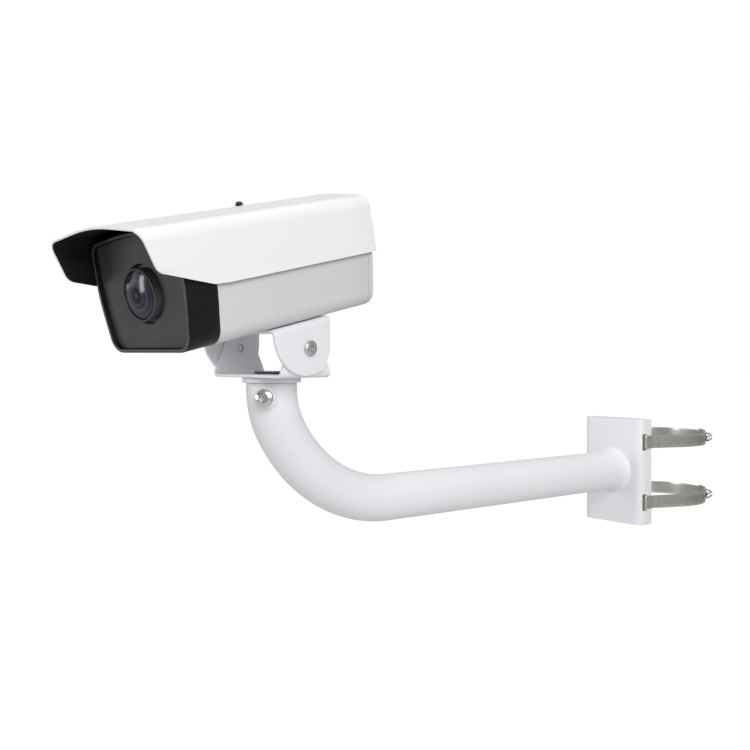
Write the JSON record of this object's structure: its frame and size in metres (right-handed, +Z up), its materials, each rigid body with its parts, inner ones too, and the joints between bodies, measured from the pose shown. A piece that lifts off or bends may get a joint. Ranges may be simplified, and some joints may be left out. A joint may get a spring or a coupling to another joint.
{
  "type": "bullet security camera on a pole arm",
  "caption": "Bullet security camera with sliding sun shield on a pan and tilt bracket, carried by a swan-neck tube arm that straps to a round pole.",
  "frame": {"origin": "centre of the mount box's back face, where it meets the pole or wall", "axes": "+Y is out of the back face, into the pole; +Z is up; the arm runs along -Y and the camera looks along -Y, turned 8.2 degrees about +Z and 12.3 degrees nose down at rest"},
  "size_m": [0.1347, 0.6888, 0.2944],
  "materials": {
    "white_powder_coat": "white powder coat, semi-gloss",
    "shield_paint": "white semi-gloss paint, matt black inside",
    "housing_paint": "light grey satin paint",
    "black_plastic": "black satin",
    "smoked_window": "smoked, infrared-passing, polished",
    "stainless": "bright stainless steel",
    "black_metal": "black anodised",
    "coated_glass": "coated optical glass",
    "rubber_seal": "black rubber",
    "circuit_board": "green solder mask",
    "silicon": "sensor die under cover glass",
    "led_resin": "clear resin",
    "bare_aluminium": "bare, fine satin"
  },
  "bodies": {
    "mount_and_arm": {"mount_channel": "white_powder_coat", "mount_back_plate": "white_powder_coat", "arm_tube": "white_powder_coat", "arm_weld": "white_powder_coat", "upper_strap": "stainless", "lower_strap": "stainless", "upper_worm_housing": "stainless", "lower_worm_housing": "stainless", "pan_lock_boss": "white_powder_coat", "pan_lock_screw": "stainless"},
    "upper_worm": {"upper_worm_screw": "stainless"},
    "lower_worm": {"lower_worm_screw": "stainless"},
    "pan_yoke": {"pan_spigot": "white_powder_coat", "spigot_nut": "stainless", "lower_yoke": "white_powder_coat", "tilt_bolt_near": "stainless", "tilt_bolt_far": "stainless"},
    "shield": {"sun_shield": "shield_paint"},
    "ir_filter": {"ir_cut_filter": "coated_glass"},
    "housing": {"upper_bracket": "white_powder_coat", "body_shell": "housing_paint", "rear_cover": "housing_paint", "front_bezel": "black_plastic", "shield_rail": "black_plastic", "lens_holder": "black_plastic", "ir_cut_guide": "black_plastic", "gland_body": "black_plastic", "gland_cap": "black_plastic", "gland_nut": "black_plastic", "front_window": "smoked_window", "bracket_screw_near": "stainless", "bracket_screw_far": "stainless", "cover_screw_low_near": "stainless", "cover_screw_low_far": "stainless", "cover_screw_high_near": "stainless", "cover_screw_high_far": "stainless", "lens_ring": "black_metal", "lens_barrel": "black_metal", "shield_washer": "black_metal", "shield_screw": "black_metal", "lens_front_glass": "coated_glass", "lens_rear_glass": "coated_glass", "rear_seal": "rubber_seal", "window_seal": "rubber_seal", "gland_seal": "rubber_seal", "sensor_board": "circuit_board", "main_board": "circuit_board", "ir_led_board": "circuit_board", "image_sensor": "silicon", "ir_led_near_low": "led_resin", "ir_led_near_high": "led_resin", "ir_led_far_low": "led_resin", "ir_led_far_high": "led_resin", "chassis_tray": "bare_aluminium", "heat_sink": "bare_aluminium", "board_post_near_front": "bare_aluminium", "board_post_far_front": "bare_aluminium", "board_post_near_rear": "bare_aluminium", "board_post_far_rear": "bare_aluminium"}
  },
  "joints": [
    {"name": "pan", "type": "hinge", "parent": "mount_and_arm", "child": "pan_yoke", "pos_m": [0, -0.4263, 0.11], "axis": [0, 0, 1], "range_deg": [-178.2, 161.8]},
    {"name": "tilt", "type": "hinge", "parent": "pan_yoke", "child": "housing", "pos_m": [0, -0.4263, 0.1219], "axis": [0.9898, 0.1426, 0], "range_deg": [-42.3, 47.7]},
    {"name": "shield_slide", "type": "slide", "parent": "housing", "child": "shield", "axis": [0.1394, -0.9671, -0.213], "range_m": [-0.008, 0.008]},
    {"name": "ir_filter_slide", "type": "slide", "parent": "housing", "child": "ir_filter", "axis": [0.9898, 0.1426, 0], "range_m": [0, 0.013]},
    {"name": "upper_worm_turn", "type": "hinge", "parent": "mount_and_arm", "child": "upper_worm", "pos_m": [0.03466, 0.09546, 0.02975], "axis": [0.788, -0.6157, 0], "continuous": true},
    {"name": "lower_worm_turn", "type": "hinge", "parent": "mount_and_arm", "child": "lower_worm", "pos_m": [0.03466, 0.09546, -0.02975], "axis": [0.788, -0.6157, 0], "continuous": true}
  ]
}
